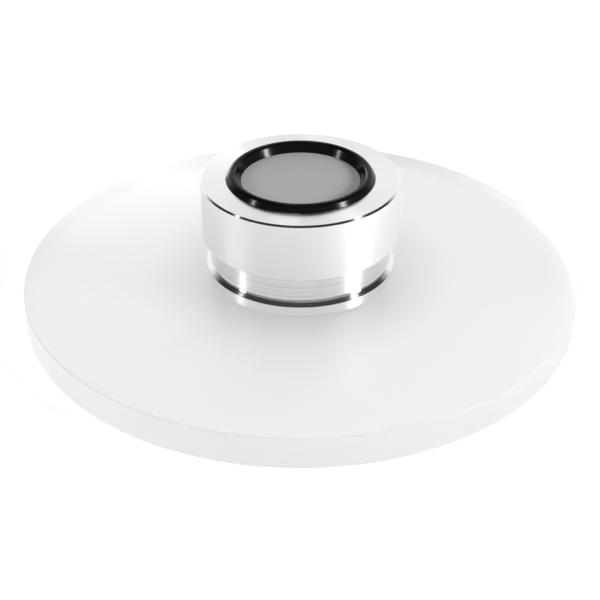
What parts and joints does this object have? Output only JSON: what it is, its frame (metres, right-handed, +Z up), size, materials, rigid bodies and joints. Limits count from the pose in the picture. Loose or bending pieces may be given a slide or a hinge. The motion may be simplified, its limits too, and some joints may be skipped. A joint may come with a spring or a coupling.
{
  "type": "record weight clamp",
  "caption": "Record clamp: frosted acrylic disc under a turned aluminium knob with an undercut finger groove, pushed onto a turntable spindle to press the record flat.",
  "frame": {"origin": "on the spindle axis, at the disc's underside", "axes": "+Z up along the spindle axis, -Y towards the viewer"},
  "size_m": [0.1, 0.1, 0.0255],
  "materials": {
    "frosted_acrylic": "satin, frosted all over, lets soft light through",
    "turned_aluminium": "bright turned, with fine tool lines round the axis",
    "black_rubber": "smooth satin",
    "badge_grey": "satin grey, bare"
  },
  "bodies": {
    "root": {"clamp_disc": "frosted_acrylic", "knob": "turned_aluminium", "badge_ring": "black_rubber", "badge_plate": "badge_grey", "spindle_grip_ring": "black_rubber", "ring_nut": "turned_aluminium"}
  },
  "joints": []
}
